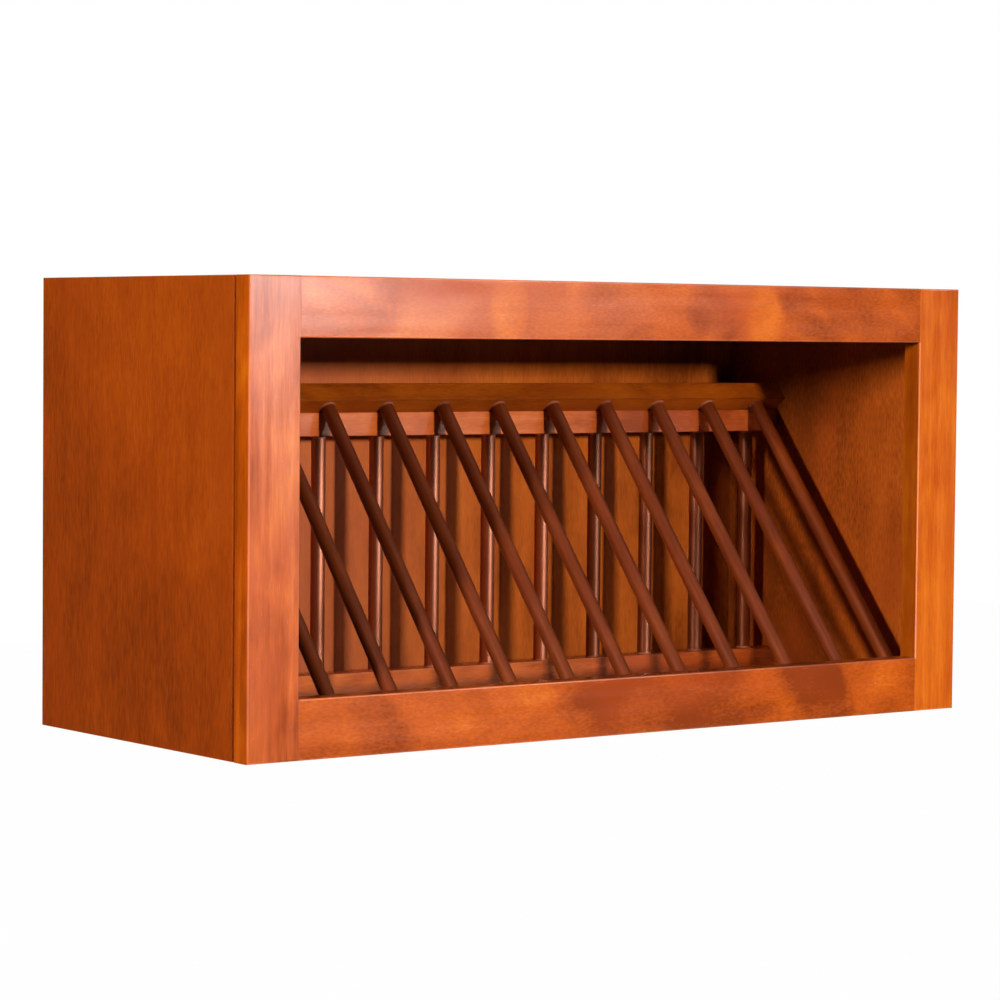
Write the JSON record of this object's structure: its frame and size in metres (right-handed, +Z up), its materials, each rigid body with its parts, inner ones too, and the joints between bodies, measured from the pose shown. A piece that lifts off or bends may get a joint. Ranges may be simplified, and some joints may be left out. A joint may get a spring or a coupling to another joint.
{
  "type": "wall dish cabinet",
  "caption": "Open-front wall cabinet with a solid wood face frame and leaning and upright dowel racks that hold plates on edge.",
  "frame": {"origin": "middle of the cabinet's footprint, level with its lower edge", "axes": "+X to the right seen from the front, +Y to the wall, +Z up"},
  "size_m": [0.762, 0.3238, 0.381],
  "materials": {
    "frame_wood": "reddish-brown stain under semi-gloss clear lacquer, figured grain",
    "panel_veneer": "stained veneer under satin clear lacquer, fine straight grain",
    "rack_wood": "reddish-brown stain under semi-gloss clear lacquer",
    "raw_plywood": "unfinished birch plywood",
    "pin_wood": "unfinished hardwood dowel",
    "screw_steel": "zinc plated"
  },
  "bodies": {
    "root": {"back_panel": "panel_veneer", "bottom_panel": "panel_veneer", "frame_bottom_rail": "frame_wood", "frame_corner_pins": "pin_wood", "frame_top_rail": "frame_wood", "hanging_rail_screws": "screw_steel", "leaning_dowel_01": "rack_wood", "leaning_dowel_02": "rack_wood", "leaning_dowel_03": "rack_wood", "leaning_dowel_04": "rack_wood", "leaning_dowel_05": "rack_wood", "leaning_dowel_06": "rack_wood", "leaning_dowel_07": "rack_wood", "leaning_dowel_08": "rack_wood", "leaning_dowel_09": "rack_wood", "leaning_dowel_10": "rack_wood", "leaning_dowel_11": "rack_wood", "leaning_dowel_12": "rack_wood", "leaning_rack_foot_rail": "rack_wood", "leaning_rack_head_rail": "rack_wood", "left_side_panel": "panel_veneer", "left_stile": "frame_wood", "lower_hanging_rail": "raw_plywood", "rack_rail_pins": "pin_wood", "rear_dowel_01": "rack_wood", "rear_dowel_02": "rack_wood", "rear_dowel_03": "rack_wood", "rear_dowel_04": "rack_wood", "rear_dowel_05": "rack_wood", "rear_dowel_06": "rack_wood", "rear_dowel_07": "rack_wood", "rear_dowel_08": "rack_wood", "rear_dowel_09": "rack_wood", "rear_dowel_10": "rack_wood", "rear_dowel_11": "rack_wood", "rear_dowel_12": "rack_wood", "rear_rack_bottom_rail": "rack_wood", "rear_rack_top_rail": "rack_wood", "right_side_panel": "panel_veneer", "right_stile": "frame_wood", "top_panel": "panel_veneer", "upper_hanging_rail": "raw_plywood"}
  },
  "joints": []
}
